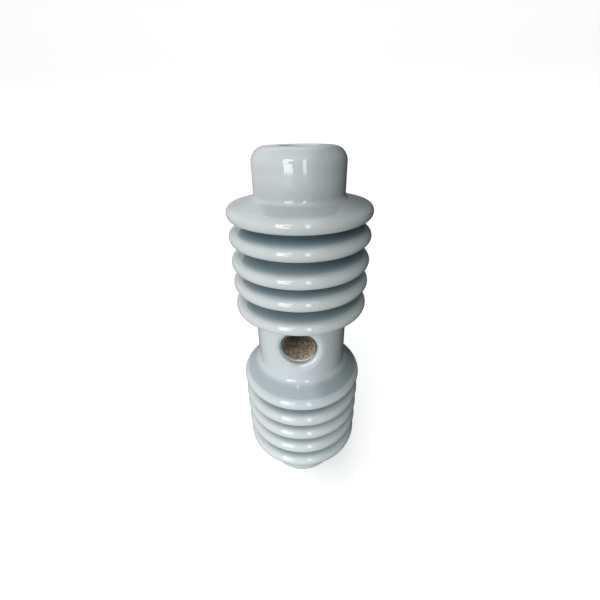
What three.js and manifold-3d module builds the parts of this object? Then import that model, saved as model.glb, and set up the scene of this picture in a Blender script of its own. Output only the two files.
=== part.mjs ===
// Bare porcelain body of a distribution fuse cutout: a turned, glazed ceramic column with two
// stacks of sheds, a plain waist and three blind sockets lined with fired sand, in millimetres.
// +Z runs up the turned axis from the foot. The waist socket opens towards -Y.
import * as THREE from 'three';
import { mergeVertices } from 'three/addons/utils/BufferGeometryUtils.js';
import Module from 'manifold-3d';

const wasm = await Module();
wasm.setup();

// Driving sizes of the turned column.
const shedRadius = 60; // outer radius of every shed
const coreRadius = 40; // core between the sheds of one stack
const waistRadius = 43.3; // plain waist between the stacks
const headRadius = 37.1; // plain head above the top shed
const bossRadius = 39; // plain boss below the bottom shed
const lowestRimHeight = 44.6; // foot to the middle of the bottom shed's rim
const waistSpan = 84.2; // middle of the last lower rim to the middle of the first upper rim
const headRise = 46.9; // middle of the top rim to the top face
const headRounding = 11;
const bossRounding = 5;
const headFillet = 3.5; // hollow where the head grows out of the top shed
const waistFillet = 5; // hollow where the waist grows out of the lower stack
const bossFillet = 2.5; // hollows above the boss and above the waist

// Each stack, from its lowest shed up. The drift is what a hand-turned shed strays from the pitch.
const lowerStack = {
  pitch: 20.8,
  rimRadius: 6.8,
  undercut: 5, // degrees that the underside rises inwards
  slopes: [20, 20, 20, 20, 42.5], // degrees that each upper face rises inwards
  drift: [0, 1.2, 0.6, -0.7, 0],
};
const upperStack = {
  pitch: 20.6,
  rimRadius: 5.9,
  undercut: 6,
  slopes: [18, 18, 18, 18, 15],
  drift: [0, 1.3, -0.1, 0.8, 0],
};
const rootRadius = 2; // hollow between a shed and the core

// Driving sizes of the sockets. A socket's depth is measured from the surface it opens in, which is
// flat or a skin of this radius. Its lip rolls in over an arc that turns this many degrees.
const waistSocket = {
  radius: 15.9,
  depth: 55,
  lipRadius: 9.3,
  lipTurn: 65,
  gritSetback: 5.9,
  skin: waistRadius,
};
const topSocket = {
  radius: 15,
  depth: 50,
  lipRadius: 2.4,
  lipTurn: 90,
  gritSetback: 3.4,
  skin: Infinity,
};
const footSocket = { ...topSocket };
const waistSocketRise = 2.9; // axis of the waist socket above the middle of the waist
const gritThickness = 0.8;
const gritGap = 0.3; // clearance between the sand lining and the porcelain

// How finely round shapes are divided.
const turnSegments = 36;
const socketSegments = 28;
const outlineSag = 0.4; // how far a straight step of the outline may cut inside its arc
const mouthSteps = 4; // straight steps around a socket's lip
const cutOverrun = 4; // how far a cutting tool starts outside the surface it cuts

const degrees = Math.PI / 180;

function finish(color, roughness) {
  return new THREE.MeshStandardMaterial({ color, roughness, metalness: 0 });
}

const glaze = finish(0xc4cdd2, 0.12);
const grit = finish(0xa89a84, 0.95);

// The height of each rim's middle, from the lowest shed of a stack up.
function rimHeights(stack, lowest) {
  return stack.drift.map((drift, shed) => lowest + shed * stack.pitch + drift);
}

const lowerRims = rimHeights(lowerStack, lowestRimHeight);
const upperRims = rimHeights(upperStack, lowerRims.at(-1) + waistSpan);
const topHeight = upperRims.at(-1) + headRise;

// A shed's corners from its underside at one radius, round its rim, to its upper face at another.
// A rim of radius r between an undercut u and a slope s touches the shed radius exactly when its
// sharp corners lie r (1 + sin u) / cos u below and r (1 - sin s) / cos s above the rim's middle.
function shedCorners(stack, shed, height, under, over) {
  const undercut = stack.undercut * degrees;
  const slope = stack.slopes[shed] * degrees;
  const rim = stack.rimRadius;
  const low = height - (rim * (1 + Math.sin(undercut))) / Math.cos(undercut);
  const high = height + (rim * (1 - Math.sin(slope))) / Math.cos(slope);
  return [
    { r: under.radius, z: low + (shedRadius - under.radius) * Math.tan(undercut), round: under.fillet },
    { r: shedRadius, z: low, round: rim },
    { r: shedRadius, z: high, round: rim },
    { r: over.radius, z: high + (shedRadius - over.radius) * Math.tan(slope), round: over.fillet },
  ];
}

function stackCorners(stack, rims, below, above) {
  const core = { radius: coreRadius, fillet: rootRadius };
  const last = rims.length - 1;
  return rims.flatMap((height, shed) =>
    shedCorners(stack, shed, height, shed === 0 ? below : core, shed === last ? above : core),
  );
}

const columnCorners = [
  { r: 0, z: 0, round: 0 },
  { r: bossRadius, z: 0, round: bossRounding },
  ...stackCorners(
    lowerStack,
    lowerRims,
    { radius: bossRadius, fillet: bossFillet },
    { radius: waistRadius, fillet: waistFillet },
  ),
  ...stackCorners(
    upperStack,
    upperRims,
    { radius: waistRadius, fillet: bossFillet },
    { radius: headRadius, fillet: headFillet },
  ),
  { r: headRadius, z: topHeight, round: headRounding },
  { r: 0, z: topHeight, round: 0 },
];

const waistEnds = columnCorners.filter(({ r }) => r === waistRadius).map(({ z }) => z);
const waistSocketHeight = (waistEnds[0] + waistEnds[1]) / 2 + waistSocketRise;

// Turns sharp corners into arcs. Where two arcs would meet on one edge, both shrink to share it.
function roundedOutline(corners) {
  const points = corners.map(({ r, z }) => new THREE.Vector2(r, z));
  const legs = points.map((point, i) => {
    if (!corners[i].round) return { reach: 0, turn: 0 };
    const back = points[i - 1].clone().sub(point).normalize();
    const ahead = points[i + 1].clone().sub(point).normalize();
    const turn = Math.PI - Math.acos(THREE.MathUtils.clamp(back.dot(ahead), -1, 1));
    return { back, ahead, turn, reach: corners[i].round * Math.tan(turn / 2) };
  });
  const share = points.slice(1).map((point, i) => {
    const wanted = legs[i].reach + legs[i + 1].reach;
    return wanted > 0 ? Math.min(1, point.distanceTo(points[i]) / wanted) : 1;
  });
  return points.flatMap((point, i) => {
    const { back, ahead, turn, reach } = legs[i];
    if (!reach) return [point];
    const kept = reach * Math.min(share[i - 1], share[i]);
    const start = point.clone().addScaledVector(back, kept);
    const radius = kept / Math.tan(turn / 2);
    const side = Math.sign(back.cross(ahead));
    const widestStep = 2 * Math.acos(1 - Math.min(1, outlineSag / radius));
    const steps = Math.max(1, Math.round(turn / widestStep));
    const inward = new THREE.Vector2(-back.y, back.x).multiplyScalar(side * radius);
    const centre = start.clone().add(inward);
    return Array.from({ length: steps + 1 }, (_, step) =>
      start.clone().rotateAround(centre, (-side * turn * step) / steps),
    );
  });
}

// A solid turned about +Z from an outline that starts and ends on the axis or closes on itself.
function turned(outline, segments) {
  const distinct = outline.filter((p, i) => i === 0 || p.distanceTo(outline[i - 1]) > 1e-4);
  const geometry = new THREE.LatheGeometry(distinct, segments);
  geometry.rotateX(Math.PI / 2);
  return geometry;
}

function toSolid(geometry) {
  const bare = geometry.clone();
  bare.deleteAttribute('normal');
  bare.deleteAttribute('uv');
  const merged = mergeVertices(bare, 1e-4);
  const vertProperties = Float32Array.from(merged.attributes.position.array);
  const triVerts = Uint32Array.from(merged.index.array);
  return new wasm.Manifold(new wasm.Mesh({ numProp: 3, vertProperties, triVerts }));
}

function toGeometry(solid) {
  const mesh = solid.getMesh();
  const geometry = new THREE.BufferGeometry();
  geometry.setAttribute('position', new THREE.BufferAttribute(mesh.vertProperties, 3));
  geometry.setIndex(new THREE.BufferAttribute(mesh.triVerts, 1));
  geometry.computeVertexNormals();
  return geometry;
}

// The shape that hollows out a socket, in the socket's own frame: its depth down -Z from the plane
// z = 0 that touches the skin, and its lip tangent to the skin. Across at x, a skin of radius R
// lies x^2 / (R + sqrt(R^2 - x^2)) behind that plane, so the mouth is carried back by as much.
function socketCutter({ radius, depth, lipRadius, lipTurn, skin }) {
  const lipReach = lipRadius * Math.sin(lipTurn * degrees);
  const lipArc = Array.from({ length: mouthSteps + 1 }, (_, step) => {
    const angle = (1 - step / mouthSteps) * lipTurn * degrees;
    const out = radius + lipReach - lipRadius * Math.sin(angle);
    return new THREE.Vector2(out, -lipRadius * (1 - Math.cos(angle)));
  });
  const outline = [
    new THREE.Vector2(0, -depth),
    new THREE.Vector2(radius, -depth),
    ...lipArc,
    new THREE.Vector2(radius + lipReach, cutOverrun),
    new THREE.Vector2(0, cutOverrun),
  ];
  const cutter = turned(outline, socketSegments);
  const place = cutter.attributes.position;
  for (let i = 0; i < place.count; i++) {
    const x = place.getX(i);
    const z = place.getZ(i);
    if (z > -depth / 2) place.setZ(i, z - x ** 2 / (skin + Math.sqrt(skin ** 2 - x ** 2)));
  }
  return cutter;
}

// The sand lining of a socket: a thin cup that stays the gap clear of the wall and the floor.
function gritCup({ radius, depth, gritSetback }) {
  const outer = radius - gritGap;
  const inner = outer - gritThickness;
  const floor = -depth + gritGap;
  const outline = [
    new THREE.Vector2(0, floor),
    new THREE.Vector2(outer, floor),
    new THREE.Vector2(outer, -gritSetback),
    new THREE.Vector2(inner, -gritSetback),
    new THREE.Vector2(inner, floor + gritThickness),
    new THREE.Vector2(0, floor + gritThickness),
  ];
  return turned(outline, socketSegments);
}

// Where each socket opens: a transform from the socket's own frame to the column's.
function placed(x, y, z, tilt) {
  const turn = new THREE.Matrix4().makeRotationX(tilt * degrees);
  return new THREE.Matrix4().makeTranslation(x, y, z).multiply(turn);
}

const sockets = {
  center_socket_grit: { socket: waistSocket, place: placed(0, -waistRadius, waistSocketHeight, 90) },
  top_socket_grit: { socket: topSocket, place: placed(0, 0, topHeight, 0) },
  foot_socket_grit: { socket: footSocket, place: placed(0, 0, 0, 180) },
};

function porcelainBody() {
  const column = toSolid(turned(roundedOutline(columnCorners), turnSegments));
  const cut = Object.values(sockets).reduce(
    (solid, { socket, place }) => solid.subtract(toSolid(socketCutter(socket).applyMatrix4(place))),
    column,
  );
  return toGeometry(cut);
}

function named(name, geometry, material) {
  const mesh = new THREE.Mesh(geometry, material);
  mesh.name = name;
  return mesh;
}

const insulator = new THREE.Group();
insulator.add(named('porcelain_body', porcelainBody(), glaze));
for (const [name, { socket, place }] of Object.entries(sockets)) {
  const lining = named(name, gritCup(socket), grit);
  lining.applyMatrix4(place);
  insulator.add(lining);
}

export default insulator;
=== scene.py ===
"""Bare glazed porcelain body of a fuse cutout, with its sand-lined sockets, in a plain studio.

Everything is in metres in the part's own frame: +Z runs up the turned axis from the foot, and the
waist socket opens towards -Y.
"""

import logging
import math
from dataclasses import dataclass, field
from enum import Enum
from typing import Sequence, Union

import bpy
import numpy as np
from mathutils import Matrix, Vector


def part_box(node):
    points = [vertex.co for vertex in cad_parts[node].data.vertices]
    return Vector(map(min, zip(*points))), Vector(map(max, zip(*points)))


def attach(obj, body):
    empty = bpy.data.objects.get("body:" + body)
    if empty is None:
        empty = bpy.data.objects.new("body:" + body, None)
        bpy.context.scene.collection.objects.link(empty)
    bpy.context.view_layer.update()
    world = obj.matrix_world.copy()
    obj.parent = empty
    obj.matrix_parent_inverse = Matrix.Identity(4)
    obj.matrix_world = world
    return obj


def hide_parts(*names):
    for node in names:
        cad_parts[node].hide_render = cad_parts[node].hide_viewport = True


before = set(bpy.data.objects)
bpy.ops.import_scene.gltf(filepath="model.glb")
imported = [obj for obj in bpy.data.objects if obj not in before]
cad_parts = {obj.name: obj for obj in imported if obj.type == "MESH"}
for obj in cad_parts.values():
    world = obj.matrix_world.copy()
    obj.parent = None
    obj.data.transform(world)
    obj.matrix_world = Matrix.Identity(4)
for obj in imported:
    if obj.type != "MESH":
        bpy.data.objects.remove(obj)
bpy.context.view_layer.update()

MM = 0.001
TAU = 2.0 * math.pi
FRONT = -0.5 * math.pi  # the angle round the axis that faces -Y, where the waist socket opens

log = logging.getLogger("cutout_porcelain")


class Slot(Enum):
    """The record's material slots."""

    GLAZE = "glazed_porcelain"
    GRIT = "sand_grit"


class Node(Enum):
    """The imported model's nodes that the visible pieces stand for."""

    BODY = "porcelain_body"
    WAIST_GRIT = "center_socket_grit"
    TOP_GRIT = "top_socket_grit"
    FOOT_GRIT = "foot_socket_grit"


# ---- shader graph


@dataclass(frozen=True)
class Signal:
    """A node's output socket, on which Python's arithmetic adds Math nodes."""

    graph: "ShaderGraph"
    socket: bpy.types.NodeSocket

    def __add__(self, other: "Operand") -> "Signal":
        """self + other."""
        return self.graph.maths("ADD", self, other)

    def __radd__(self, other: "Operand") -> "Signal":
        """other + self."""
        return self.graph.maths("ADD", other, self)

    def __sub__(self, other: "Operand") -> "Signal":
        """self - other."""
        return self.graph.maths("SUBTRACT", self, other)

    def __rsub__(self, other: "Operand") -> "Signal":
        """other - self."""
        return self.graph.maths("SUBTRACT", other, self)

    def __mul__(self, other: "Operand") -> "Signal":
        """self * other."""
        return self.graph.maths("MULTIPLY", self, other)

    def __rmul__(self, other: "Operand") -> "Signal":
        """other * self."""
        return self.graph.maths("MULTIPLY", other, self)

    def ramped(self, low: float, high: float) -> "Signal":
        """A smooth step from 0 at low to 1 at high, or down from 1 where low is above high.

        Args:
            low: The value that gives 0.
            high: The value that gives 1.

        Returns:
            The stepped signal.
        """
        settings = {"interpolation_type": "SMOOTHSTEP", "clamp": True}
        sockets = {"Value": self, "From Min": low, "From Max": high, "To Min": 0.0, "To Max": 1.0}
        return self.graph.node("ShaderNodeMapRange", settings, sockets).out("Result")


Operand = Union[Signal, float]
Colour = tuple[float, float, float]


@dataclass(frozen=True)
class Placed:
    """A node that has been added to a graph."""

    graph: "ShaderGraph"
    node: bpy.types.Node

    def out(self, key: Union[str, int]) -> Signal:
        """The output socket with this name or number."""
        return Signal(self.graph, self.node.outputs[key])


class ShaderGraph:
    """The node tree of one material or of the world."""

    def __init__(self, tree: bpy.types.NodeTree) -> None:
        """Empties the tree.

        Args:
            tree: The node tree to build in.
        """
        self.tree = tree
        tree.nodes.clear()

    def node(self, kind: str, settings: dict, sockets: dict) -> Placed:
        """Adds a node.

        Args:
            kind: The node's type.
            settings: Its properties, which are set first. "stops" fills a colour ramp.
            sockets: Values or signals for its inputs, by name or number.

        Returns:
            The node, ready to be read.
        """
        made = self.tree.nodes.new(kind)
        for name, value in settings.items():
            if name == "stops":
                self._fill_ramp(made.color_ramp, value)
            else:
                setattr(made, name, value)
        for key, value in sockets.items():
            target = made.inputs[key]
            if isinstance(value, Signal):
                self.tree.links.new(value.socket, target)
            elif target.type == "RGBA" and len(value) == 3:
                target.default_value = (*value, 1.0)
            else:
                target.default_value = value
        return Placed(self, made)

    @staticmethod
    def _fill_ramp(ramp: bpy.types.ColorRamp, stops: Sequence[tuple[float, Colour]]) -> None:
        """Gives a colour ramp these (place, colour) stops.

        Args:
            ramp: The colour ramp.
            stops: Where each stop lies, from 0 to 1, and its colour.
        """
        while len(ramp.elements) < len(stops):
            ramp.elements.new(1.0)
        for element, (place, colour) in zip(ramp.elements, stops):
            element.position = place
            element.color = (*colour, 1.0)

    def maths(self, operation: str, *values: Operand) -> Signal:
        """One Math node on two values."""
        sockets = dict(enumerate(values))
        return self.node("ShaderNodeMath", {"operation": operation}, sockets).out("Value")

    def mix(self, factor: Operand, first: Union[Signal, Colour], second: Union[Signal, Colour],
            blend: str = "MIX") -> Signal:
        """Mixes two colours.

        Args:
            factor: How much of the second colour shows.
            first: The colour at factor 0.
            second: The colour at factor 1.
            blend: How the second colour is laid on the first.

        Returns:
            The mixed colour.
        """
        settings = {"data_type": "RGBA", "blend_type": blend, "clamp_factor": True}
        return self.node("ShaderNodeMix", settings, {0: factor, 6: first, 7: second}).out(2)

    def object_position(self) -> Signal:
        """The point's place in the part's own frame."""
        return self.node("ShaderNodeTexCoord", {}, {}).out("Object")

    def noise(self, where: Signal, scale: float, detail: float) -> Signal:
        """Fractal noise from 0 to 1, around 0.5.

        Args:
            where: The coordinates it is read at.
            scale: Its features per metre.
            detail: How many finer layers it has.

        Returns:
            The noise value.
        """
        sockets = {"Vector": where, "Scale": scale, "Detail": detail}
        return self.node("ShaderNodeTexNoise", {}, sockets).out(0)

    def attribute(self, name: str) -> Signal:
        """A value kept on the mesh's own points."""
        return self.node("ShaderNodeAttribute", {"attribute_name": name}, {}).out("Fac")

    def bump(self, height: Signal, distance: float, strength: float) -> Signal:
        """A normal tilted by a height.

        Args:
            height: The height, from 0 to 1.
            distance: What a height of 1 stands for, in metres.
            strength: How much of the tilt shows.

        Returns:
            The tilted normal.
        """
        sockets = {"Height": height, "Distance": distance, "Strength": strength}
        return self.node("ShaderNodeBump", {}, sockets).out("Normal")

    def principled(self, sockets: dict) -> None:
        """Makes a Principled shader with these inputs the tree's surface."""
        surface = self.node("ShaderNodeBsdfPrincipled", {}, sockets).out("BSDF")
        self.node("ShaderNodeOutputMaterial", {}, {"Surface": surface})


def blank_material(name: str) -> tuple[bpy.types.Material, ShaderGraph]:
    """A new node material with an empty tree, and that tree.

    Args:
        name: The material's name.

    Returns:
        The material and its graph.
    """
    material = bpy.data.materials.new(name)
    material.use_nodes = True
    return material, ShaderGraph(material.node_tree)


# ---- finishes


@dataclass(frozen=True)
class GlazeFinish:
    """Feldspar glaze over white porcelain, thin on edges and pooled in hollows, partly painted
    shade.
    """

    name: str = "pale_blue_grey_glaze"
    even: Colour = (0.442, 0.482, 0.500)
    thin: Colour = (0.480, 0.522, 0.518)
    # gathered glaze, which also paints shade in the grooves and hollows
    pooled_glaze_and_shade: Colour = (0.125, 0.200, 0.222)
    biscuit: Colour = (0.640, 0.610, 0.550)
    speck: Colour = (0.180, 0.130, 0.090)
    gloss: float = 0.05
    bare_roughness: float = 0.6
    ior: float = 1.52
    coat_roughness: float = 0.025
    coat_ior: float = 1.5
    cloud_scale: float = 28.0  # this and the scales below are features per metre
    fine_scale: float = 700.0
    peel_scale: float = 220.0
    dimple_scale: float = 1500.0
    chalk_scale: float = 2600.0
    speck_scale: float = 150.0
    speck_patch_scale: float = 60.0
    speck_strength: float = 0.7
    relief: float = 0.11 * MM
    relief_strength: float = 0.5

    def material(self) -> bpy.types.Material:
        """The glaze as a node material, with a bare foot ring where the piece stood in the kiln.

        Returns:
            The material.
        """
        material, graph = blank_material(self.name)
        where = graph.object_position()
        glaze = graph.attribute("glaze")
        bare = graph.attribute("bare")
        cloud = graph.noise(where, self.cloud_scale, 3.0)
        fine = graph.noise(where, self.fine_scale, 2.0)
        colour = graph.mix(glaze.ramped(0.05, 0.9) * (0.75 + 0.5 * cloud), self.even, self.thin)
        # the pooled colour is partly gathered glaze and partly painted shade in grooves and hollows
        colour = graph.mix(glaze.ramped(-0.05, -0.9) * (0.7 + 0.6 * cloud), colour, self.pooled_glaze_and_shade)
        shade = 0.5 + 0.16 * (cloud - 0.5) + 0.05 * (fine - 0.5)
        colour = graph.mix(1.0, colour, self._grey(graph, shade), "SOFT_LIGHT")
        specks = self._specks(graph, where)
        colour = graph.mix(specks, colour, self.speck)
        colour = graph.mix(bare, colour, self.biscuit)
        dimples = 0.15 * graph.noise(where, self.dimple_scale, 1.0)
        peel = graph.noise(where, self.peel_scale, 2.0) + dimples
        chalk = graph.noise(where, self.chalk_scale, 3.0)
        height = peel * (1.0 - bare) + chalk * bare
        sockets = {
            "Base Color": colour,
            "Roughness": self.gloss + 0.05 * cloud + bare * self.bare_roughness,
            "Metallic": 0.0,
            "IOR": self.ior,
            "Coat Weight": 1.0 - bare,
            "Coat Roughness": self.coat_roughness,
            "Coat IOR": self.coat_ior,
            "Normal": graph.bump(height, self.relief, self.relief_strength),
        }
        graph.principled(sockets)
        return material

    @staticmethod
    def _grey(graph: ShaderGraph, value: Signal) -> Signal:
        """A grey colour of this value."""
        return graph.node("ShaderNodeCombineColor", {}, {0: value, 1: value, 2: value}).out(0)

    def _specks(self, graph: ShaderGraph, where: Signal) -> Signal:
        """Sparse iron specks: the middles of large cells, kept only where a slow noise is high.

        Args:
            graph: The material's graph.
            where: The coordinates the specks are read at.

        Returns:
            How much of the speck colour shows.
        """
        settings = {"feature": "F1", "distance": "EUCLIDEAN"}
        sockets = {"Vector": where, "Scale": self.speck_scale}
        cells = graph.node("ShaderNodeTexVoronoi", settings, sockets)
        dots = cells.out("Distance").ramped(0.07, 0.035)
        kept = graph.noise(where, self.speck_patch_scale, 1.0).ramped(0.60, 0.66)
        return dots * kept * self.speck_strength


@dataclass(frozen=True)
class GritFinish:
    """Coarse fired sand: tan and brown grains, some pale quartz, painted shade between the grains.

    It carries painted shade that grows with depth and towards its upper left. Round the mouth it
    has painted light below, and painted shade above.
    """

    name: str = "fired_sand"
    # the colour of the sand's painted shade
    dark: Colour = (0.050, 0.038, 0.026)
    brown: Colour = (0.475, 0.380, 0.255)
    tan: Colour = (0.860, 0.750, 0.570)
    quartz: Colour = (0.820, 0.780, 0.700)
    # painted light on the lower half of the mouth
    painted_sand_light: Colour = (0.740, 0.770, 0.740)
    # painted shade on the upper half of the mouth
    painted_mouth_shade_colour: Colour = (0.085, 0.100, 0.098)
    patch_scale: float = 120.0  # features per metre, and so is the next
    rough_scale: float = 3000.0
    relief: float = 0.2 * MM
    relief_strength: float = 0.6

    def material(self) -> bpy.types.Material:
        """The sand as a node material. It reads each grain's tone, height and place in the socket.

        Returns:
            The material.
        """
        material, graph = blank_material(self.name)
        where = graph.object_position()
        tone = graph.attribute("tone")
        height = graph.attribute("height")
        mouth = graph.attribute("mouth")
        patch = graph.noise(where, self.patch_scale, 2.0)
        stops = [(0.0, self.brown), (0.38, self.brown), (0.6, self.tan), (0.85, self.tan),
                 (0.95, self.quartz)]
        mixed = tone * 0.75 + patch * 0.35
        colour = graph.node("ShaderNodeValToRGB", {"stops": stops}, {"Fac": mixed}).out("Color")
        # painted shade in the gaps between the grains, where a grain's height is low
        colour = graph.mix(height.ramped(0.42, 0.0), colour, self.dark)
        # painted shade: darker deeper in the socket and towards its upper left
        colour = graph.mix(graph.attribute("painted_shade"), colour, self.dark)
        # painted light on the lower half of the mouth, where the wall faces up into the light
        colour = graph.mix(mouth * (0.6 + 0.4 * patch), colour, self.painted_sand_light)
        # painted shade on the upper half of the mouth, where the wall faces down
        colour = graph.mix(graph.attribute("painted_mouth_shade"), colour, self.painted_mouth_shade_colour)
        rough = graph.noise(where, self.rough_scale, 3.0)
        sockets = {
            "Base Color": colour,
            "Roughness": 0.85 - 0.45 * tone.ramped(0.85, 0.95),
            "Metallic": 0.0,
            "Normal": graph.bump(rough, self.relief, self.relief_strength),
        }
        graph.principled(sockets)
        return material


@dataclass(frozen=True)
class PaperFinish:
    """Matt white paper with a faint fibre, which glows a little so that it reads as white."""

    name: str = "pale_paper"
    dull: Colour = (0.86, 0.86, 0.855)
    bright: Colour = (0.90, 0.90, 0.895)
    glow: Colour = (1.0, 1.0, 0.995)
    glow_strength: float = 0.35
    roughness: float = 0.9
    fibre_scale: float = 900.0

    def material(self) -> bpy.types.Material:
        """The paper as a node material.

        Returns:
            The material.
        """
        material, graph = blank_material(self.name)
        fibre = graph.noise(graph.object_position(), self.fibre_scale, 3.0)
        colour = graph.mix(fibre, self.dull, self.bright)
        sockets = {"Base Color": colour, "Roughness": self.roughness,
                   "Emission Color": self.glow, "Emission Strength": self.glow_strength}
        graph.principled(sockets)
        return material


# ---- shapes


@dataclass(frozen=True)
class Corner:
    """A sharp corner of a turned outline, and the radius it is rounded to."""

    radius: float
    height: float
    round: float = 0.0


def rounded_outline(corners: Sequence[Corner], arc_step: float, line_step: float) -> np.ndarray:
    """Rounds an outline's corners and divides its straights.

    A corner of turn t and rounding q becomes an arc that starts q tan(t / 2) before the corner and
    ends as far past it. Straights between arcs are divided evenly.

    Args:
        corners: The outline's corners in order.
        arc_step: The widest step along an arc, in radians.
        line_step: The longest step along a straight, in metres.

    Returns:
        Points (n, 2) of radius and height.
    """
    sharp = np.array([(c.radius, c.height) for c in corners])
    pieces: list[np.ndarray] = [sharp[:1]]
    for before, corner, after, rule in zip(sharp, sharp[1:], sharp[2:], corners[1:]):
        back = (before - corner) / np.linalg.norm(before - corner)
        ahead = (after - corner) / np.linalg.norm(after - corner)
        turn = math.pi - math.acos(float(np.clip(back @ ahead, -1.0, 1.0)))
        start = corner + back * rule.round * math.tan(turn / 2)
        side = math.copysign(1.0, back[0] * ahead[1] - back[1] * ahead[0])
        centre = start + side * rule.round * np.array([-back[1], back[0]])
        steps = max(1, math.ceil(turn / arc_step)) if rule.round else 0
        angle = -side * turn * np.arange(steps + 1) / max(1, steps)
        spoke = start - centre
        pieces.append(centre + np.stack([
            spoke[0] * np.cos(angle) - spoke[1] * np.sin(angle),
            spoke[0] * np.sin(angle) + spoke[1] * np.cos(angle),
        ], axis=1))
    pieces.append(sharp[-1:])
    dense: list[np.ndarray] = [pieces[0]]
    for arc in pieces[1:]:
        start, end = dense[-1][-1], arc[0]
        steps = max(1, math.ceil(float(np.linalg.norm(end - start)) / line_step))
        share = np.arange(1, steps)[:, None] / steps
        dense += [start + (end - start) * share, arc]
    points = np.concatenate(dense)
    apart = np.linalg.norm(np.diff(points, axis=0), axis=1) > 1e-7
    return points[np.concatenate([[True], apart])]


def edge_bend(points: np.ndarray, reach: float, tightest: float) -> np.ndarray:
    """How tightly an outline bends around an outside edge, from 0 to 1.

    The bend is the turn between neighbouring steps over their length, averaged along the outline
    with a bell-shaped weight.

    Args:
        points: Outline points (n, 2), with the solid on the left.
        reach: The weight's spread along the outline, in metres.
        tightest: The radius of bend that gives 1, in metres.

    Returns:
        The bend at each point.
    """
    steps = np.diff(points, axis=0)
    lengths = np.linalg.norm(steps, axis=1)
    heading = np.unwrap(np.arctan2(steps[:, 1], steps[:, 0]))
    place = np.concatenate([[0.0], np.cumsum(lengths)])
    turn = np.concatenate([[0.0], np.diff(heading), [0.0]])
    weight = np.exp(-0.5 * ((place[:, None] - place[None, :]) / reach) ** 2)
    bend = (weight @ turn) / (reach * math.sqrt(TAU))
    return np.clip(bend * tightest, 0.0, 1.0)


def smooth(share: np.ndarray) -> np.ndarray:
    """Eases a share from 0 to 1 at both ends: three of its square less two of its cube."""
    return share**2 * (3.0 - 2.0 * share)


def strips(rings: np.ndarray) -> np.ndarray:
    """Quads between each closed ring of point numbers and the next, (rings, around) to (n, 4).

    Args:
        rings: Point numbers (rings, around).

    Returns:
        Quads (n, 4).
    """
    low, high = rings[:-1], rings[1:]
    next_low, next_high = np.roll(low, -1, axis=1), np.roll(high, -1, axis=1)
    return np.stack([low, next_low, next_high, high], axis=-1).reshape(-1, 4)


def fan(ring: np.ndarray, tip: int, outward: bool) -> np.ndarray:
    """Triangles from a closed ring of point numbers to one tip, turned over unless outward.

    Args:
        ring: Point numbers (m,) round the ring.
        tip: The tip's point number.
        outward: False turns the triangles over.

    Returns:
        Triangles (m, 3).
    """
    after = np.roll(ring, -1)
    tips = np.full_like(ring, tip)
    return np.stack([ring, after, tips] if outward else [after, ring, tips], axis=-1)


def revolved(outline: np.ndarray, angle: np.ndarray) -> tuple[np.ndarray, np.ndarray]:
    """Turns an outline whose two ends lie on the axis.

    Args:
        outline: Points (n, 2) of radius and height.
        angle: The angles (m,) that the points between the ends are repeated at.

    Returns:
        Points (2 + (n - 2) m, 3), one for each end and a ring for each point between, and the
        numbers (n - 2, m) of the ring points.
    """
    radius, height = outline[1:-1, 0, None], outline[1:-1, 1, None]
    rings = np.stack(np.broadcast_arrays(radius * np.cos(angle), radius * np.sin(angle), height),
                     axis=-1)
    points = np.concatenate([
        [[0.0, 0.0, outline[0, 1]]], rings.reshape(-1, 3), [[0.0, 0.0, outline[-1, 1]]],
    ])
    return points, 1 + np.arange(rings[..., 0].size).reshape(rings.shape[:2])


def per_ring(values: np.ndarray, around: int) -> np.ndarray:
    """One value per outline point, repeated for every point that it is turned to."""
    return np.concatenate([values[:1], np.repeat(values[1:-1], around), values[-1:]])


@dataclass
class Surface:
    """A closed surface as arrays: its points, quads and triangles, and a value set per point."""

    points: np.ndarray
    quads: np.ndarray
    triangles: np.ndarray
    values: dict[str, np.ndarray] = field(default_factory=dict)

    def compacted(self) -> "Surface":
        """The same surface without the points that no face uses.

        Returns:
            The new surface.
        """
        used = np.unique(np.concatenate([self.quads.ravel(), self.triangles.ravel()]))
        renumber = np.full(len(self.points), -1)
        renumber[used] = np.arange(len(used))
        values = {name: value[used] for name, value in self.values.items()}
        return Surface(self.points[used], renumber[self.quads], renumber[self.triangles], values)

    def volume(self) -> float:
        """The enclosed volume, positive where the faces point outwards.

        Returns:
            The volume in cubic metres.
        """
        halves = np.concatenate([self.quads[:, [0, 1, 2]], self.quads[:, [0, 2, 3]], self.triangles])
        a, b, c = (self.points[halves[:, k]] for k in range(3))
        return float(np.einsum("ij,ij->i", a, np.cross(b, c)).sum() / 6.0)

    def to_object(self, name: str) -> bpy.types.Object:
        """Puts the arrays into a smooth-shaded mesh object at the origin.

        Args:
            name: The piece's name.

        Returns:
            The linked object.
        """
        mesh = bpy.data.meshes.new(name)
        mesh.from_pydata(self.points.tolist(), [], self.quads.tolist() + self.triangles.tolist())
        mesh.polygons.foreach_set("use_smooth", np.ones(len(mesh.polygons), dtype=bool))
        for key, value in self.values.items():
            layer = mesh.attributes.new(key, "FLOAT", "POINT")
            layer.data.foreach_set("value", value.astype(np.float32))
        mesh.update()
        piece = bpy.data.objects.new(name, mesh)
        bpy.context.collection.objects.link(piece)
        return piece


def dress(piece: bpy.types.Object, material: bpy.types.Material, node: Node) -> None:
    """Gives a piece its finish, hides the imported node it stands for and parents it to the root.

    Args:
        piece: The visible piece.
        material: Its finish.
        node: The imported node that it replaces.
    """
    piece.data.materials.append(material)
    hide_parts(node.value)
    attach(piece, "root")
    log.info("%s: %d faces", piece.name, len(piece.data.polygons))


# ---- sand linings


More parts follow.
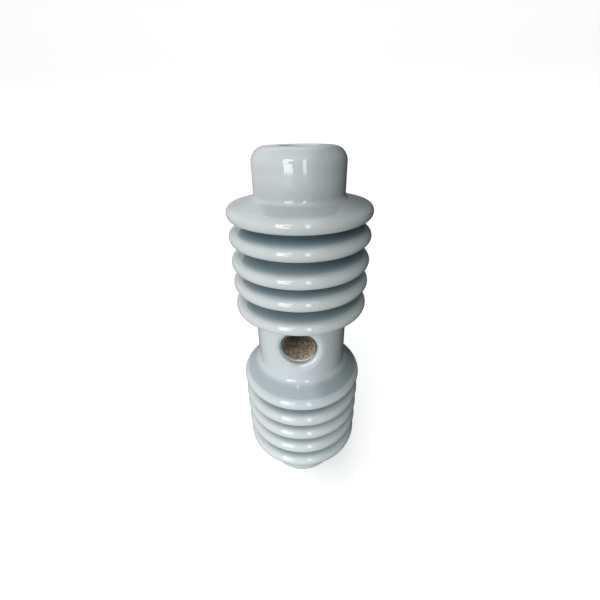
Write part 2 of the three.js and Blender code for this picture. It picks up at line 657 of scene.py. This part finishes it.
@dataclass(frozen=True)
class SandField:
    """Grains scattered through space: one in each cell of a jittered lattice."""

    cell: float = 1.05 * MM
    relief: float = 0.36 * MM
    least_size: float = 0.45  # a grain's radius over its cell's width
    size_spread: float = 0.4
    least_peak: float = 0.55  # a grain's height over the relief
    peak_spread: float = 0.45

    @staticmethod
    def _scatter(cells: np.ndarray, salt: int) -> np.ndarray:
        """A number from 0 to 1 for each lattice cell, from its whole-number place and a salt.

        Args:
            cells: Whole-number places (n, 3).
            salt: Which of a cell's numbers to give.

        Returns:
            Numbers (n,).
        """
        keys = cells.astype(np.int64)
        mixed = keys[..., 0] * 73856093 ^ keys[..., 1] * 19349663 ^ keys[..., 2] * 83492791
        mixed = (mixed ^ (salt * 2654435761)) & 0xFFFFFFFF
        mixed = (mixed ^ (mixed >> 16)) * 0x45D9F3B & 0xFFFFFFFF
        mixed = (mixed ^ (mixed >> 16)) * 0x45D9F3B & 0xFFFFFFFF
        return (mixed ^ (mixed >> 16)) / float(0xFFFFFFFF)

    def read(self, points: np.ndarray) -> tuple[np.ndarray, np.ndarray]:
        """The height and tone of the grain nearest each point.

        A grain is a dome: its height falls from its own peak as the square root of one less the
        squared distance from its middle.

        Args:
            points: Places (n, 3).

        Returns:
            Heights from 0 to 1, and tones from 0 to 1.
        """
        scaled = points / self.cell
        home = np.floor(scaled)
        height = np.zeros(len(points))
        tone = np.full(len(points), 0.5)
        offsets = np.stack(np.meshgrid(*[[-1, 0, 1]] * 3, indexing="ij"), axis=-1).reshape(-1, 3)
        for offset in offsets:
            cells = home + offset
            middle = cells + np.stack([self._scatter(cells, salt) for salt in (1, 2, 3)], axis=-1)
            size = self.least_size + self.size_spread * self._scatter(cells, 4)
            gap = np.linalg.norm(scaled - middle, axis=1) / size
            peak = self.least_peak + self.peak_spread * self._scatter(cells, 5)
            dome = peak * np.sqrt(np.clip(1.0 - gap**2, 0.0, 1.0))
            nearer = dome > height
            height = np.where(nearer, dome, height)
            tone = np.where(nearer, self._scatter(cells, 6), tone)
        return height, tone


@dataclass
class SandLining:
    """A cup of fired sand on the wall and floor of one socket.

    The cup is turned in its own frame, with the socket's mouth in the plane of height 0 and the
    socket running down from it, and is then carried into place.
    """

    node: Node
    place: Matrix
    outer: float
    thickness: float
    depth: float
    setback: float
    around: int = 250
    grain_step: float = 0.34 * MM
    edge_round: float = 0.45 * MM
    mouth_reach: float = 4.0 * MM  # how far in the painted light and painted shade round the mouth go
    mouth_fade: float = 1.5
    # painted shade in the sand: deeper in, and towards the upper left
    painted_shade_reach: float = 32.0 * MM
    painted_shade_with_depth: float = 0.42
    painted_shade_to_upper_left: float = 0.54
    # strength of the painted shade on the upper half of the mouth
    painted_mouth_shade_strength: float = 0.9
    sand: SandField = field(default_factory=SandField)

    def surface(self) -> Surface:
        """The cup with its grains raised.

        The outline runs from the middle of the cup's back, out along it, up the outer wall, over the
        mouth edge, down the inner wall and in along the floor. On the inner faces each point then
        moves off the wall by the height of the grain there.

        Returns:
            The closed surface, in the part's frame.
        """
        inner = self.outer - self.thickness
        floor = -self.depth + self.thickness
        back = rounded_outline([
            Corner(0.0, -self.depth),
            Corner(self.outer, -self.depth, self.edge_round),
            Corner(self.outer, -self.setback, self.edge_round),
            Corner(inner + 0.5 * self.thickness, -self.setback),
        ], math.radians(30.0), 4.0 * MM)
        face = rounded_outline([
            Corner(inner + 0.5 * self.thickness, -self.setback),
            Corner(inner, -self.setback, self.edge_round),
            Corner(inner, floor, 3.0 * self.edge_round),
            Corner(0.0, floor),
        ], math.radians(15.0), self.grain_step)
        outline = np.concatenate([back, face[1:]])
        grainy = np.zeros(len(outline))
        grainy[len(back):] = 1.0
        angle = TAU * np.arange(self.around) / self.around
        points, numbers = revolved(outline, angle)
        weight = per_ring(grainy, self.around)
        own_pattern = self.depth * len(self.node.value)
        heights, tones = self.sand.read(points + own_pattern)
        normals = self._inward(outline, angle)
        points = points + normals * (heights * weight * self.sand.relief)[:, None]
        tip = len(points) - 1
        triangles = np.concatenate([fan(numbers[0], 0, False), fan(numbers[-1], tip, True)])
        turn = np.array(self.place.to_3x3())
        carried = points @ turn.T + np.array(self.place.translation)
        values = {"height": heights, "tone": tones, **self._painted_light_and_shade(points[:, 2], carried)}
        return Surface(carried, strips(numbers), triangles, values)

    def _painted_light_and_shade(self, height: np.ndarray, carried: np.ndarray) -> dict[str, np.ndarray]:
        """How much painted shade and painted light the sand carries.

        Painted shade grows with depth and towards the upper left. Round the mouth the lower half
        has painted light and the upper half painted shade, and both fade inwards.

        Args:
            height: Heights in the cup's own frame (n,).
            carried: The same points in the part's frame (n, 3).

        Returns:
            The painted shade, the painted light below the mouth and the painted shade above it, at
            each point.
        """
        near = np.clip(1.0 + (height + self.setback) / self.mouth_reach, 0.0, 1.0) ** self.mouth_fade
        far = np.clip(-(height + self.setback) / self.painted_shade_reach, 0.0, 1.0)
        across = (carried[:, 0] - self.place.translation.x) / self.outer
        above = (carried[:, 2] - self.place.translation.z) / self.outer
        low = np.clip(-above, 0.0, 1.0)
        upper_left = smooth(np.clip(0.5 + 0.3 * above - 0.4 * across, 0.0, 1.0))
        return {
            # painted shade, growing with depth and towards the upper left
            "painted_shade": self.painted_shade_with_depth * far + self.painted_shade_to_upper_left * upper_left,
            # painted light on the lower half round the mouth
            "mouth": near * low,
            # painted shade on the upper half round the mouth
            "painted_mouth_shade": self.painted_mouth_shade_strength * near * (1.0 - low),
        }

    @staticmethod
    def _inward(outline: np.ndarray, angle: np.ndarray) -> np.ndarray:
        """The surface's normal at each point of the turned grid, poles included.

        Args:
            outline: The cup's outline (n, 2).
            angle: The angles (m,) it is turned to.

        Returns:
            Unit normals, in the order of the turned points.
        """
        tangent = np.gradient(outline, axis=0)
        tangent /= np.linalg.norm(tangent, axis=1, keepdims=True)
        out, up = tangent[1:-1, 1, None], -tangent[1:-1, 0, None]
        ring = np.stack(np.broadcast_arrays(out * np.cos(angle), out * np.sin(angle), up), axis=-1)
        first, last = [[0.0, 0.0, -1.0]], [[0.0, 0.0, 1.0]]
        return np.concatenate([first, ring.reshape(-1, 3), last])

    def build(self, finish: GritFinish) -> None:
        """Makes the piece and dresses it."""
        piece = self.surface().to_object(self.node.value.replace("grit", "sand"))
        dress(piece, finish.material(), self.node)


# ---- porcelain


@dataclass
class ShedStack:
    """One stack of sheds, counted from its lowest up, with the stray of each from the even pitch.

    Two shares say how thick the glaze gathers on an upper face, a colour that also paints shade:
    in the open, and in a groove before it deepens towards the core.
    """

    pitch: float
    rim: float
    undercut: float
    slopes: tuple[float, ...]
    drift: tuple[float, ...]
    open_glaze_and_shade: float
    groove_glaze_and_shade: float

    def rims(self, lowest: float) -> list[float]:
        """The height of each rim's middle, from the height of the lowest."""
        return [lowest + shed * self.pitch + drift for shed, drift in enumerate(self.drift)]

    def corners(self, shed: int, height: float, outer: float, under: Corner,
                over: Corner) -> list[Corner]:
        """The corners of one shed, from under it, round its rim, to its upper face.

        A rim of radius q between an undercut u and a slope s is round when its corners lie
        q (1 + sin u) / cos u below and q (1 - sin s) / cos s above the rim's middle.

        Args:
            shed: Its number in the stack.
            height: The height of its rim's middle.
            outer: The sheds' outer radius.
            under: The radius and rounding where its underside ends.
            over: The radius and rounding where its upper face ends.

        Returns:
            Four corners, going up.
        """
        undercut, slope = math.radians(self.undercut), math.radians(self.slopes[shed])
        low = height - self.rim * (1.0 + math.sin(undercut)) / math.cos(undercut)
        high = height + self.rim * (1.0 - math.sin(slope)) / math.cos(slope)
        return [
            Corner(under.radius, low + (outer - under.radius) * math.tan(undercut), under.round),
            Corner(outer, low, self.rim),
            Corner(outer, high, self.rim),
            Corner(over.radius, high + (outer - over.radius) * math.tan(slope), over.round),
        ]


@dataclass(frozen=True)
class Wave:
    """A wave round the axis, in millimetres, whose phase drifts by so many radians a millimetre."""

    size: float
    turns: int
    drift: float

    def at(self, angle: np.ndarray, height: np.ndarray) -> np.ndarray:
        """size * cos(turns * angle + drift * height), with the height in millimetres."""
        return self.size * np.cos(self.turns * angle + self.drift * height)


SWELL = (Wave(0.10, 2, 0.011), Wave(0.06, 3, -0.05), Wave(0.03, 5, 0.11), Wave(0.006, 11, 0.4))
LIFT = (Wave(0.12, 1, 0.17), Wave(0.05, 4, 0.31))


@dataclass
class PorcelainBody:
    """The turned and glazed column, with a socket in its waist and one in each end."""

    outer: float
    top: float
    waist_socket_height: float
    waist_socket_depth: float
    waist_bore: float
    end_socket_depth: float
    end_bore: float
    core: float = 40.0 * MM
    waist: float = 43.3 * MM
    head: float = 37.1 * MM
    boss: float = 39.0 * MM
    lowest_rim: float = 44.6 * MM
    waist_span: float = 84.2 * MM
    head_round: float = 11.0 * MM
    boss_round: float = 5.0 * MM
    head_fillet: float = 3.5 * MM
    waist_fillet: float = 5.0 * MM
    boss_fillet: float = 2.5 * MM
    root: float = 2.0 * MM
    end_lip: float = 2.4 * MM
    mouth_round: float = 9.3 * MM
    mouth_turn: float = 65.0
    around: int = 180
    floor_round: float = 1.0 * MM
    arc_step: float = 9.5  # degrees
    line_step: float = 3.0 * MM
    border_rings: int = 6  # from the window's border to the start of the lip
    lip_rings: int = 14
    wall_rings: int = 10
    floor_rings: int = 7
    edge_reach: float = 1.6 * MM
    edge_radius: float = 6.0 * MM
    edge_thinning: float = 0.6
    pool_start: float = 0.3 * MM  # this far in from the rim the glaze and painted shade begin
    pool_reach: float = 4.5 * MM
    # towards the core the groove darkens: partly gathered glaze, partly painted shade
    deep_start: float = 5.0 * MM
    deep_reach: float = 10.0 * MM
    deep_glaze_and_shade: float = 0.36
    stem_reach: float = 5.0 * MM
    # glaze gathered on the mouth's lip and in the bore, partly painted shade in the socket
    lip_glaze_and_shade: float = 0.95
    bore_glaze_and_shade: float = 0.6
    foot_ring: float = 16.0 * MM  # inner radius of the unglazed ring
    # each stack's glaze shares are partly gathered glaze and partly painted shade
    lower: ShedStack = field(default_factory=lambda: ShedStack(
        pitch=20.8 * MM, rim=6.8 * MM, undercut=5.0, slopes=(20.0, 20.0, 20.0, 20.0, 42.5),
        drift=(0.0, 1.2 * MM, 0.6 * MM, -0.7 * MM, 0.0), open_glaze_and_shade=0.50, groove_glaze_and_shade=0.44))
    upper: ShedStack = field(default_factory=lambda: ShedStack(
        pitch=20.6 * MM, rim=5.9 * MM, undercut=6.0, slopes=(18.0, 18.0, 18.0, 18.0, 15.0),
        drift=(0.0, 1.3 * MM, -0.1 * MM, 0.8 * MM, 0.0), open_glaze_and_shade=0.26, groove_glaze_and_shade=0.50))

    def _rims(self) -> tuple[list[float], list[float]]:
        """The heights of the lower stack's rims and of the upper's."""
        lower = self.lower.rims(self.lowest_rim)
        return lower, self.upper.rims(lower[-1] + self.waist_span)

    def _stack_corners(self, stack: ShedStack, rims: list[float], below: Corner,
                       above: Corner) -> list[Corner]:
        """All corners of one stack, given what its first underside and last upper face end on.

        Args:
            stack: The stack.
            rims: The heights of its rims.
            below: What its first underside ends on.
            above: What its last upper face ends on.

        Returns:
            The corners, going up.
        """
        core = Corner(self.core, 0.0, self.root)
        last = len(rims) - 1
        found: list[Corner] = []
        for shed, height in enumerate(rims):
            under = below if shed == 0 else core
            over = above if shed == last else core
            found += stack.corners(shed, height, self.outer, under, over)
        return found

    def outline(self) -> np.ndarray:
        """The turned outline, from the foot socket's floor, round the outside, to the top's.

        Returns:
            Points (n, 2) of radius and height.
        """
        lower_rims, upper_rims = self._rims()
        corners = [
            Corner(0.0, self.end_socket_depth),
            Corner(self.end_bore, self.end_socket_depth, self.floor_round),
            Corner(self.end_bore, 0.0, self.end_lip),
            Corner(self.boss, 0.0, self.boss_round),
            *self._stack_corners(self.lower, lower_rims, Corner(self.boss, 0.0, self.boss_fillet),
                                 Corner(self.waist, 0.0, self.waist_fillet)),
            *self._stack_corners(self.upper, upper_rims, Corner(self.waist, 0.0, self.boss_fillet),
                                 Corner(self.head, 0.0, self.head_fillet)),
            Corner(self.head, self.top, self.head_round),
            Corner(self.end_bore, self.top, self.end_lip),
            Corner(self.end_bore, self.top - self.end_socket_depth, self.floor_round),
            Corner(0.0, self.top - self.end_socket_depth),
        ]
        return rounded_outline(corners, math.radians(self.arc_step), self.line_step)

    def surface(self) -> Surface:
        """The whole column as one closed surface, with its waist socket let in.

        Returns:
            The surface, with the glaze's thickness and the bare ring as values.
        """
        outline = self.outline()
        edges = edge_bend(outline, self.edge_reach, self.edge_radius)
        bend = self.edge_thinning * edges - self._pooling_and_shade(outline)
        angle = FRONT + TAU * (np.arange(self.around) - self.around // 2) / self.around
        points, numbers = revolved(outline, angle)
        glaze = per_ring(bend, self.around)
        quads = strips(numbers).reshape(len(numbers) - 1, self.around, 4)
        rows, columns = self._window(outline[1:-1], angle)
        keep = np.ones(quads.shape[:2], dtype=bool)
        keep[rows.start:rows.stop, columns.start:columns.stop] = False
        quads = quads[keep]
        border = np.concatenate([
            numbers[rows.start, columns.start:columns.stop],
            numbers[rows.start:rows.stop, columns.stop],
            numbers[rows.stop, columns.stop:columns.start:-1],
            numbers[rows.stop:rows.start:-1, columns.start],
        ])
        socket, socket_glaze = self._socket(points[border])
        first = len(points)
        levels = len(socket)
        socket_numbers = first + np.arange(levels * len(border)).reshape(levels, len(border))
        centre = np.array([[0.0, self.waist_socket_depth - self.waist, self.waist_socket_height]])
        tip = first + socket_numbers.size
        top_tip = first - 1
        points = np.concatenate([points, socket.reshape(-1, 3), centre])
        glaze = np.concatenate([glaze, np.repeat(socket_glaze, len(border)), [0.0]])
        quads = np.concatenate([quads, strips(np.concatenate([border[None], socket_numbers]))])
        triangles = np.concatenate([
            fan(numbers[0], 0, False),
            fan(numbers[-1], top_tip, True),
            fan(socket_numbers[-1], tip, True),
        ])
        points = points + self._unevenness(points)
        bare = self._bare(points)
        return Surface(points, quads, triangles, {"glaze": glaze, "bare": bare}).compacted()

    def _pooling_and_shade(self, outline: np.ndarray) -> np.ndarray:
        """How far the glaze has gathered on each upper face and run down towards the core, 0 to 1.

        It comes in just inside the rim, wherever a face looks up. In the grooves it deepens towards
        the core. In the open it fades again where the head or the waist begins.
        Its colour is partly gathered glaze and partly painted shade.

        Args:
            outline: The turned outline (n, 2).

        Returns:
            The share of gathered glaze and painted shade at each point.
        """
        heading = np.gradient(outline, axis=0)
        upward = np.clip(-heading[:, 0] / np.linalg.norm(heading, axis=1), 0.0, 1.0)
        upward = np.clip(1.3 * upward, 0.0, 1.0)
        radius = outline[:, 0]
        inside = smooth(np.clip((self.outer - self.pool_start - radius) / self.pool_reach, 0.0, 1.0))
        deep = np.clip((self.outer - self.deep_start - radius) / self.deep_reach, 0.0, 1.0)
        in_upper = outline[:, 1] > self.waist_socket_height
        stem = np.where(in_upper, self.head, self.waist)
        clear = smooth(np.clip((radius - stem) / self.stem_reach, 0.0, 1.0))
        # gathered glaze, partly painted shade, in the open and in the grooves
        in_open = clear * inside * np.where(in_upper, self.upper.open_glaze_and_shade, self.lower.open_glaze_and_shade)
        in_groove = np.where(in_upper, self.upper.groove_glaze_and_shade, self.lower.groove_glaze_and_shade)
        in_groove = in_groove * inside + self.deep_glaze_and_shade * deep
        between = self._between_sheds(outline[:, 1])
        return upward * np.clip(in_open + (in_groove - in_open) * between, 0.0, 1.0)

    def _between_sheds(self, height: np.ndarray) -> np.ndarray:
        """1 at the heights between two sheds of one stack, 0 elsewhere."""
        spans = [(rims[0], rims[-1]) for rims in self._rims()]
        return sum(((height > low) & (height < high)).astype(float) for low, high in spans)

    def _mouth_radius(self) -> float:
        """How far from the waist socket's axis its lip begins."""
        return self.waist_bore + self.mouth_round * math.sin(math.radians(self.mouth_turn))

    def _window(self, outline: np.ndarray, angle: np.ndarray) -> tuple[range, range]:
        """The rows and columns of the turned grid that the waist socket takes the place of.

        Args:
            outline: The outline's points between its ends (n, 2).
            angle: The angles (m,) of the grid's columns.

        Returns:
            The first and last row, and the first and last column, as ranges.
        """
        plain = np.flatnonzero(np.abs(outline[:, 0] - self.waist) < 1e-6)
        margin, side_margin, widest = 0.8 * MM, 0.7 * MM, 0.95
        reach = self._mouth_radius() + margin
        half = math.asin(min(widest, (reach + side_margin) / self.waist))
        inside = np.flatnonzero(np.abs(angle - FRONT) <= half)
        low = plain[outline[plain, 1] <= self.waist_socket_height - reach]
        high = plain[outline[plain, 1] >= self.waist_socket_height + reach]
        first = int(low[-1]) if len(low) else int(plain[0])
        last = int(high[0]) if len(high) else int(plain[-1])
        return range(first, last), range(int(inside[0]), int(inside[-1]))

    def _socket(self, border: np.ndarray) -> tuple[np.ndarray, np.ndarray]:
        """The rings of points from the border of the window into the waist socket.

        Across (x, z) the rings go from the border to a circle, and lie on the waist's cylinder,
        y = -sqrt(waist^2 - x^2). Over the lip, an arc of radius q, the ring at angle t has shrunk
        by q sin t and sunk by q (1 - cos t). Then they run straight in along the bore, and close
        over its floor.

        Args:
            border: The window's border points (m, 3).

        Returns:
            Points (rings, m, 3), and how thin, or below 0 how thick, the glaze lies on each ring.
            The thick glaze on the lip and in the bore is partly painted shade.
        """
        across = border[:, [0, 2]] - np.array([0.0, self.waist_socket_height])
        spoke = across / np.linalg.norm(across, axis=1, keepdims=True)
        wide = self._mouth_radius()
        bored, walled = self.border_rings + self.lip_rings, self.wall_rings
        bottom = bored + walled
        ease = (np.arange(1, self.border_rings + 1) / self.border_rings)[:, None, None]
        flat = across * (1.0 - ease) + spoke * wide * ease
        turn = np.linspace(0.0, math.radians(self.mouth_turn), self.lip_rings + 1)[1:]
        lip_radius = wide - self.mouth_round * np.sin(turn)
        lip = spoke[None] * lip_radius[:, None, None]
        wall = np.repeat(spoke[None] * self.waist_bore, walled, axis=0)
        inward = np.arange(1, self.floor_rings + 1) / (self.floor_rings + 1)
        floor = spoke[None] * (self.waist_bore * (1.0 - inward))[:, None, None]
        planar = np.concatenate([flat, lip, wall, floor])
        skin = -np.sqrt(self.waist**2 - planar[..., 0] ** 2)
        level = np.zeros(self.border_rings)
        sunk = np.concatenate([level, self.mouth_round * (1.0 - np.cos(turn))])
        deep = np.full(planar.shape[:2], self.waist_socket_depth - self.waist)
        deep[:bored] = skin[:bored] + sunk[:, None]
        share = (np.arange(1, walled + 1) / walled)[:, None]
        deep[bored:bottom] = deep[bored - 1] * (1.0 - share) + deep[bottom] * share
        rings = np.stack([planar[..., 0], deep, planar[..., 1] + self.waist_socket_height], axis=-1)
        # the lip and bore darken: partly gathered glaze, partly painted shade
        bore_glaze_and_shade = np.full(walled + self.floor_rings, -self.bore_glaze_and_shade)
        thin = np.concatenate([level, -self.lip_glaze_and_shade * np.sin(turn) ** 4, bore_glaze_and_shade])
        return rings, thin

    @staticmethod
    def _unevenness(points: np.ndarray) -> np.ndarray:
        """What turning, drying and firing leave: slow waves of a fraction of a millimetre.

        The swell moves the skin in and out and fades towards the axis. The lift moves only the
        sheds, up and down.

        Args:
            points: Places (n, 3) in the part's frame.

        Returns:
            How far each point moves, in metres.
        """
        angle = np.arctan2(points[:, 1], points[:, 0])
        radius = np.hypot(points[:, 0], points[:, 1])
        height = points[:, 2] / MM
        outside = np.clip((radius - 20.0 * MM) / (15.0 * MM), 0.0, 1.0)
        broad, oval, rough, fine = (wave.at(angle, height) for wave in SWELL)
        swell = (broad + oval) + (rough + fine)
        tilt, warp = (wave.at(angle, height) for wave in LIFT)
        lift = (tilt + warp) * np.clip((radius - 38.0 * MM) / (15.0 * MM), 0.0, 1.0)
        out = points[:, :2] / np.maximum(radius, 1e-9)[:, None]
        moved = out * (swell * outside * MM)[:, None]
        return np.concatenate([moved, (lift * MM)[:, None]], axis=1)

    def _bare(self, points: np.ndarray) -> np.ndarray:
        """Where the glaze was wiped off so that the foot could stand in the kiln.

        Args:
            points: Places (n, 3) in the part's frame.

        Returns:
            1 where the body is bare, 0 where it is glazed.
        """
        radius = np.hypot(points[:, 0], points[:, 1])
        flat = np.clip(1.0 - points[:, 2] / (0.5 * MM), 0.0, 1.0)
        return flat * np.clip((radius - self.foot_ring) / (1.0 * MM), 0.0, 1.0)

    def build(self, finish: GlazeFinish) -> None:
        """Makes the piece and dresses it.

        Args:
            finish: The glaze.
        """
        shape = self.surface()
        log.info("porcelain volume: %.0f cm3", shape.volume() * 1e6)
        piece = shape.to_object("glazed_porcelain_body")
        dress(piece, finish.material(), Node.BODY)


# ---- the whole part


@dataclass
class CutoutPorcelain:
    """The insulator: the glazed body and the sand linings, with places read from the imported model.
    """

    gap: float = 0.3 * MM
    thickness: float = 0.8 * MM
    glaze: GlazeFinish = field(default_factory=GlazeFinish)
    grit: GritFinish = field(default_factory=GritFinish)

    def body(self) -> PorcelainBody:
        """The porcelain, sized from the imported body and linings.

        Returns:
            The body's sizes.
        """
        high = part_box(Node.BODY.value)[1]
        waist_low, waist_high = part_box(Node.WAIST_GRIT.value)
        foot_low, foot_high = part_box(Node.FOOT_GRIT.value)
        waist = PorcelainBody.waist
        return PorcelainBody(
            outer=high.x,
            top=high.z,
            waist_socket_height=0.5 * (waist_low.z + waist_high.z),
            waist_socket_depth=waist_high.y + self.gap + waist,
            waist_bore=0.5 * (waist_high.x - waist_low.x) + self.gap,
            end_socket_depth=foot_high.z + self.gap,
            end_bore=0.5 * (foot_high.x - foot_low.x) + self.gap,
        )

    def linings(self) -> list[SandLining]:
        """The three linings, each in the frame of its own socket.

        Returns:
            The linings of the waist, the head and the boss.
        """
        body = self.body()
        height = body.waist_socket_height
        tilt = Matrix.Rotation(math.radians(90.0), 4, "X")
        flip = Matrix.Rotation(math.radians(180.0), 4, "X")
        waist_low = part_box(Node.WAIST_GRIT.value)[0].y
        foot_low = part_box(Node.FOOT_GRIT.value)[0].z
        places = [
            (Node.WAIST_GRIT, Matrix.Translation((0, -body.waist, height)) @ tilt,
             body.waist_bore, body.waist_socket_depth, waist_low + body.waist),
            (Node.TOP_GRIT, Matrix.Translation((0, 0, body.top)),
             body.end_bore, body.end_socket_depth, foot_low),
            (Node.FOOT_GRIT, flip, body.end_bore, body.end_socket_depth, foot_low),
        ]
        return [SandLining(node, place, bore - self.gap, self.thickness, depth - self.gap, setback)
                for node, place, bore, depth, setback in places]

    def build(self) -> None:
        """Makes every piece."""
        self.body().build(self.glaze)
        for lining in self.linings():
            lining.build(self.grit)


# ---- studio


@dataclass(frozen=True)
class Softbox:
    """A rectangular light, placed by where it stands as seen from the part."""

    name: str
    azimuths: tuple[float, float]
    elevations: tuple[float, float]
    radiance: float
    distance: float = 3.2
    level: float = 0.325
    mirrored: bool = True
    colour: Colour = (1.0, 0.99, 0.97)

    def build(self) -> None:
        """Makes the light, which faces the part's axis. One that isn't mirrored shows in no gloss.

        Its edges lie at the named azimuths, from -Y towards +X, and elevations, in degrees, seen
        from the axis at the given level. Its power is its radiance times pi times its area.
        """
        left, right = (math.radians(a) for a in self.azimuths)
        low, high = (self.level + self.distance * math.tan(math.radians(e)) for e in self.elevations)
        width = 2.0 * self.distance * math.tan(0.5 * (right - left))
        lamp = bpy.data.lights.new(self.name, "AREA")
        lamp.shape = "RECTANGLE"
        lamp.size = width
        lamp.size_y = high - low
        lamp.energy = self.radiance * math.pi * width * (high - low)
        lamp.color = self.colour
        light = bpy.data.objects.new(self.name, lamp)
        middle = 0.5 * (left + right)
        away = Vector((math.sin(middle), -math.cos(middle), 0.0))
        light.location = away * self.distance + Vector((0.0, 0.0, 0.5 * (low + high)))
        light.rotation_euler = away.to_track_quat("Z", "Y").to_euler()
        light.visible_camera = False
        light.visible_glossy = self.mirrored
        bpy.context.collection.objects.link(light)


@dataclass(frozen=True)
class Sky:
    """The light from all round, by where it comes from: X is right and Y is behind."""

    below: Colour = (0.22, 0.225, 0.22)
    ahead: Colour = (0.53, 0.535, 0.545)
    overhead: Colour = (1.14, 1.16, 1.18)
    left_low: Colour = (0.60, 0.61, 0.61)
    left_high: Colour = (0.96, 0.97, 0.98)
    right: Colour = (0.022, 0.026, 0.020)

    def build(self) -> None:
        """Makes the world: brighter from above and from the left, and dark from the right."""
        world = bpy.data.worlds.new("studio")
        bpy.context.scene.world = world
        world.use_nodes = True
        graph = ShaderGraph(world.node_tree)
        way = graph.node("ShaderNodeTexCoord", {}, {}).out("Generated")
        sides = graph.node("ShaderNodeSeparateXYZ", {}, {"Vector": way})
        across, back, up = sides.out("X"), sides.out("Y"), sides.out("Z")
        level = graph.mix(up.ramped(-0.7, 0.1), self.below, self.ahead)
        level = graph.mix(up.ramped(0.15, 0.75), level, self.overhead)
        leftness = (0.75 * across + 0.35 * back).ramped(0.0, -0.6)
        left = graph.mix(up.ramped(-0.4, 0.3), self.left_low, self.left_high)
        level = graph.mix(leftness, level, left)
        rightness = (0.95 * across + 0.25 * back).ramped(0.10, 0.52)
        colour = graph.mix(rightness, level, self.right)
        light = graph.node("ShaderNodeBackground", {}, {"Color": colour, "Strength": 1.0})
        graph.node("ShaderNodeOutputWorld", {}, {"Surface": light.out("Background")})


@dataclass
class Studio:
    """Pale floor with a cove, tall windows at the front, soft light all round, and the camera."""

    camera_distance: float = 0.2592
    camera_height: float = 0.3522
    camera_azimuth: float = 4.2
    camera_pitch: float = 29.05
    camera_roll: float = -0.80
    axis_offset: float = 0.86 * MM
    focal_share: float = 0.515  # focal length over the picture's width
    boxes: tuple[Softbox, ...] = (
        Softbox("window_left_top", (-35.5, -9.5), (27.0, 38.0), 4.4),
        Softbox("window_left_middle", (-33.5, -20.0), (12.5, 26.0), 4.2),
        Softbox("window_left_low", (-31.0, -11.5), (-6.4, 9.5), 4.2),
        Softbox("window_right", (12.0, 19.5), (-6.4, 38.0), 3.2),
        Softbox("transom", (-35.5, -4.0), (48.2, 50.4), 3.5),
        Softbox("table_card", (-68.0, 46.0), (-8.0, 12.0), 2.7, distance=0.32, level=0.05,
                mirrored=False, colour=(0.94, 0.985, 1.0)),
    )
    sky: Sky = field(default_factory=Sky)
    paper: PaperFinish = field(default_factory=PaperFinish)

    def camera(self) -> None:
        """A wide lens close to the part, just above its head and looking down."""
        turn = math.radians(self.camera_azimuth)
        pitch = math.radians(self.camera_pitch)
        roll = math.radians(self.camera_roll)
        right = Vector((math.cos(turn), math.sin(turn), 0.0))
        level = Vector((-math.sin(turn), math.cos(turn), 0.0))
        forward = level * math.cos(pitch) + Vector((0.0, 0.0, -math.sin(pitch)))
        up = level * math.sin(pitch) + Vector((0.0, 0.0, math.cos(pitch)))
        across = right * math.cos(roll) + up * math.sin(roll)
        upward = up * math.cos(roll) - right * math.sin(roll)
        place = level * -self.camera_distance - right * self.axis_offset
        data = bpy.data.cameras.new("camera")
        data.sensor_width = 36.0
        data.lens = self.focal_share * data.sensor_width
        data.clip_start = 0.01
        camera = bpy.data.objects.new("camera", data)
        axes = Matrix((across, upward, -forward)).transposed().to_4x4()
        camera.matrix_world = Matrix.Translation((place.x, place.y, self.camera_height)) @ axes
        bpy.context.collection.objects.link(camera)
        bpy.context.scene.camera = camera

    def floor(self) -> None:
        """A pale sheet that lies flat and sweeps up in a quarter circle behind the part."""
        bend = 0.8
        arc = np.linspace(0.0, 0.5 * math.pi, 25)
        along = np.concatenate([[-5.0, -2.0, 0.0], 2.0 + bend * np.sin(arc), [2.0 + bend]])
        rise = np.concatenate([[0.0, 0.0, 0.0], bend * (1.0 - np.cos(arc)), [4.0]])
        across = np.linspace(-6.0, 6.0, 9)
        x, y = np.meshgrid(across, along)
        z = np.broadcast_to(rise[:, None], x.shape)
        numbers = np.arange(x.size).reshape(x.shape)
        quads = np.stack([numbers[:-1, :-1], numbers[:-1, 1:], numbers[1:, 1:], numbers[1:, :-1]],
                         axis=-1).reshape(-1, 4)
        none = np.zeros((0, 3), dtype=int)
        sheet = Surface(np.stack([x, y, z], axis=-1).reshape(-1, 3), quads, none)
        floor = sheet.to_object("studio_floor")
        floor.data.materials.append(self.paper.material())
        floor.visible_diffuse = False
        floor.visible_glossy = False
        floor.visible_shadow = False

    def build(self) -> None:
        """Makes the floor, the lights and the camera."""
        self.camera()
        self.floor()
        for box in self.boxes:
            box.build()
        self.sky.build()
        bpy.context.scene.view_settings.view_transform = "Standard"


def main() -> None:
    """Builds the studio and the part in order."""
    logging.basicConfig(level=logging.INFO, format="%(name)s: %(message)s")
    Studio().build()
    CutoutPorcelain().build()


if __name__ == "__main__":
    main()
